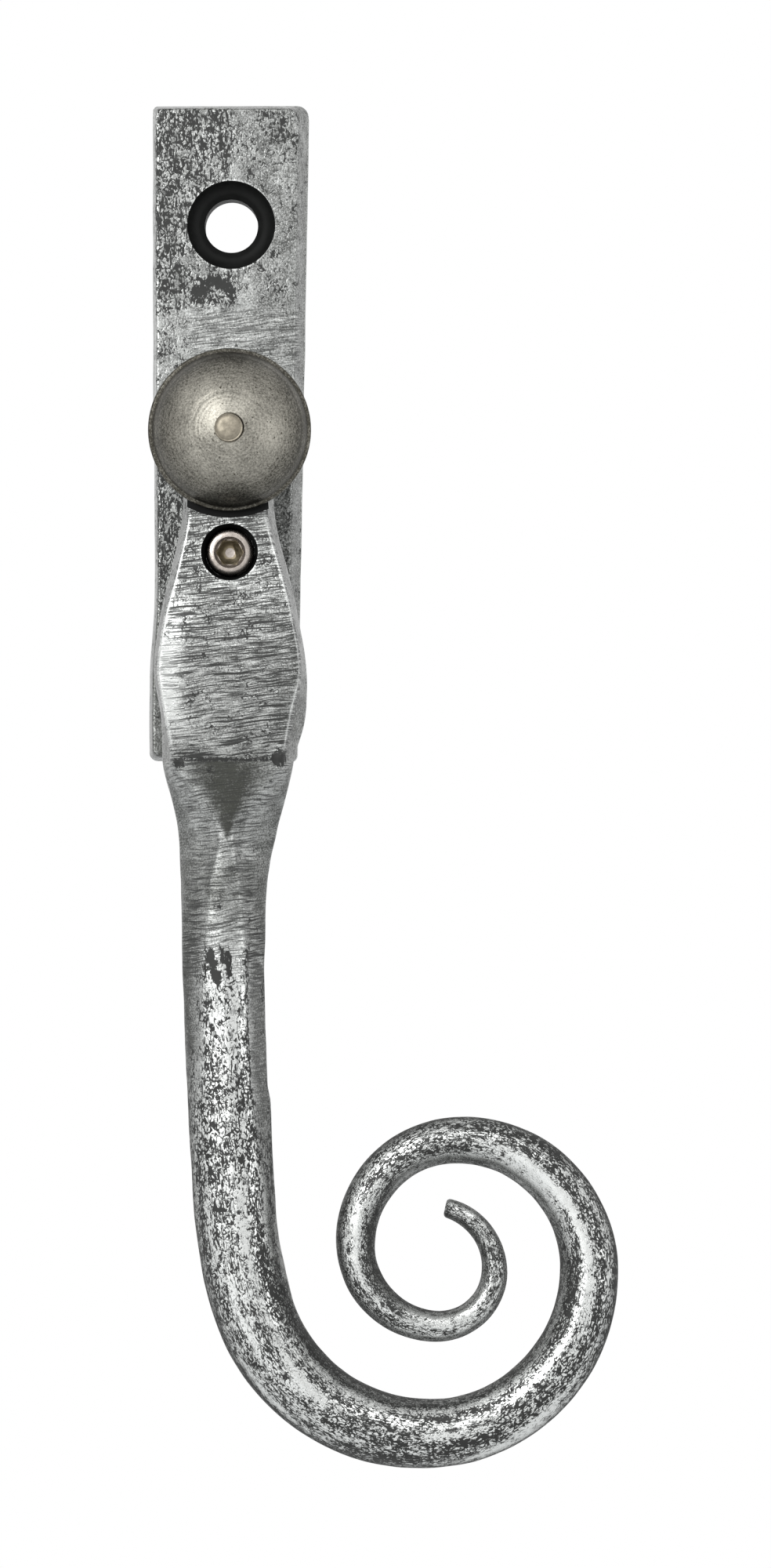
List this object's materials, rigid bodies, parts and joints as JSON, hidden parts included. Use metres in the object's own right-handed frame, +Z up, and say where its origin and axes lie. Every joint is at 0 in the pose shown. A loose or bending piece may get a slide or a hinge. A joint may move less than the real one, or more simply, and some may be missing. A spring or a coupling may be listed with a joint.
{
  "type": "monkey tail espagnolette handle",
  "caption": "Forged window handle with a curled monkey tail on a slim backplate, a domed knob, a lock screw and a square spindle.",
  "frame": {"origin": "on the spindle's axis, in the back face of the backplate", "axes": "+Z up along the plate, -Y out to the front, +X to the side that the tail curls to"},
  "size_m": [0.0481, 0.0615, 0.1397],
  "materials": {
    "forged_steel": "blackened, then rubbed back to bright high spots",
    "turned_steel": "turned, waxed satin",
    "rivet_steel": "ground flush",
    "stainless_steel": "machined",
    "zinc_plated_steel": "bright zinc",
    "spring_steel": "phosphated black",
    "black_acetal": "moulded"
  },
  "bodies": {
    "plate": {"backplate": "forged_steel", "pivot_bush": "black_acetal", "disc_spring": "spring_steel"},
    "lever": {"handle": "forged_steel", "knob": "turned_steel", "knob_rivet": "rivet_steel", "spindle": "zinc_plated_steel", "thrust_washer": "zinc_plated_steel", "retaining_ring": "spring_steel"},
    "lock": {"lock_screw": "stainless_steel"}
  },
  "joints": [
    {"name": "handle_turn", "type": "hinge", "parent": "plate", "child": "lever", "pos_m": [0, 0, 0], "axis": [0, -1, 0], "range_deg": [0, 90]},
    {"name": "lock_screw_travel", "type": "slide", "parent": "lever", "child": "lock", "axis": [0, 1, 0], "range_m": [0, 0.0028]}
  ]
}
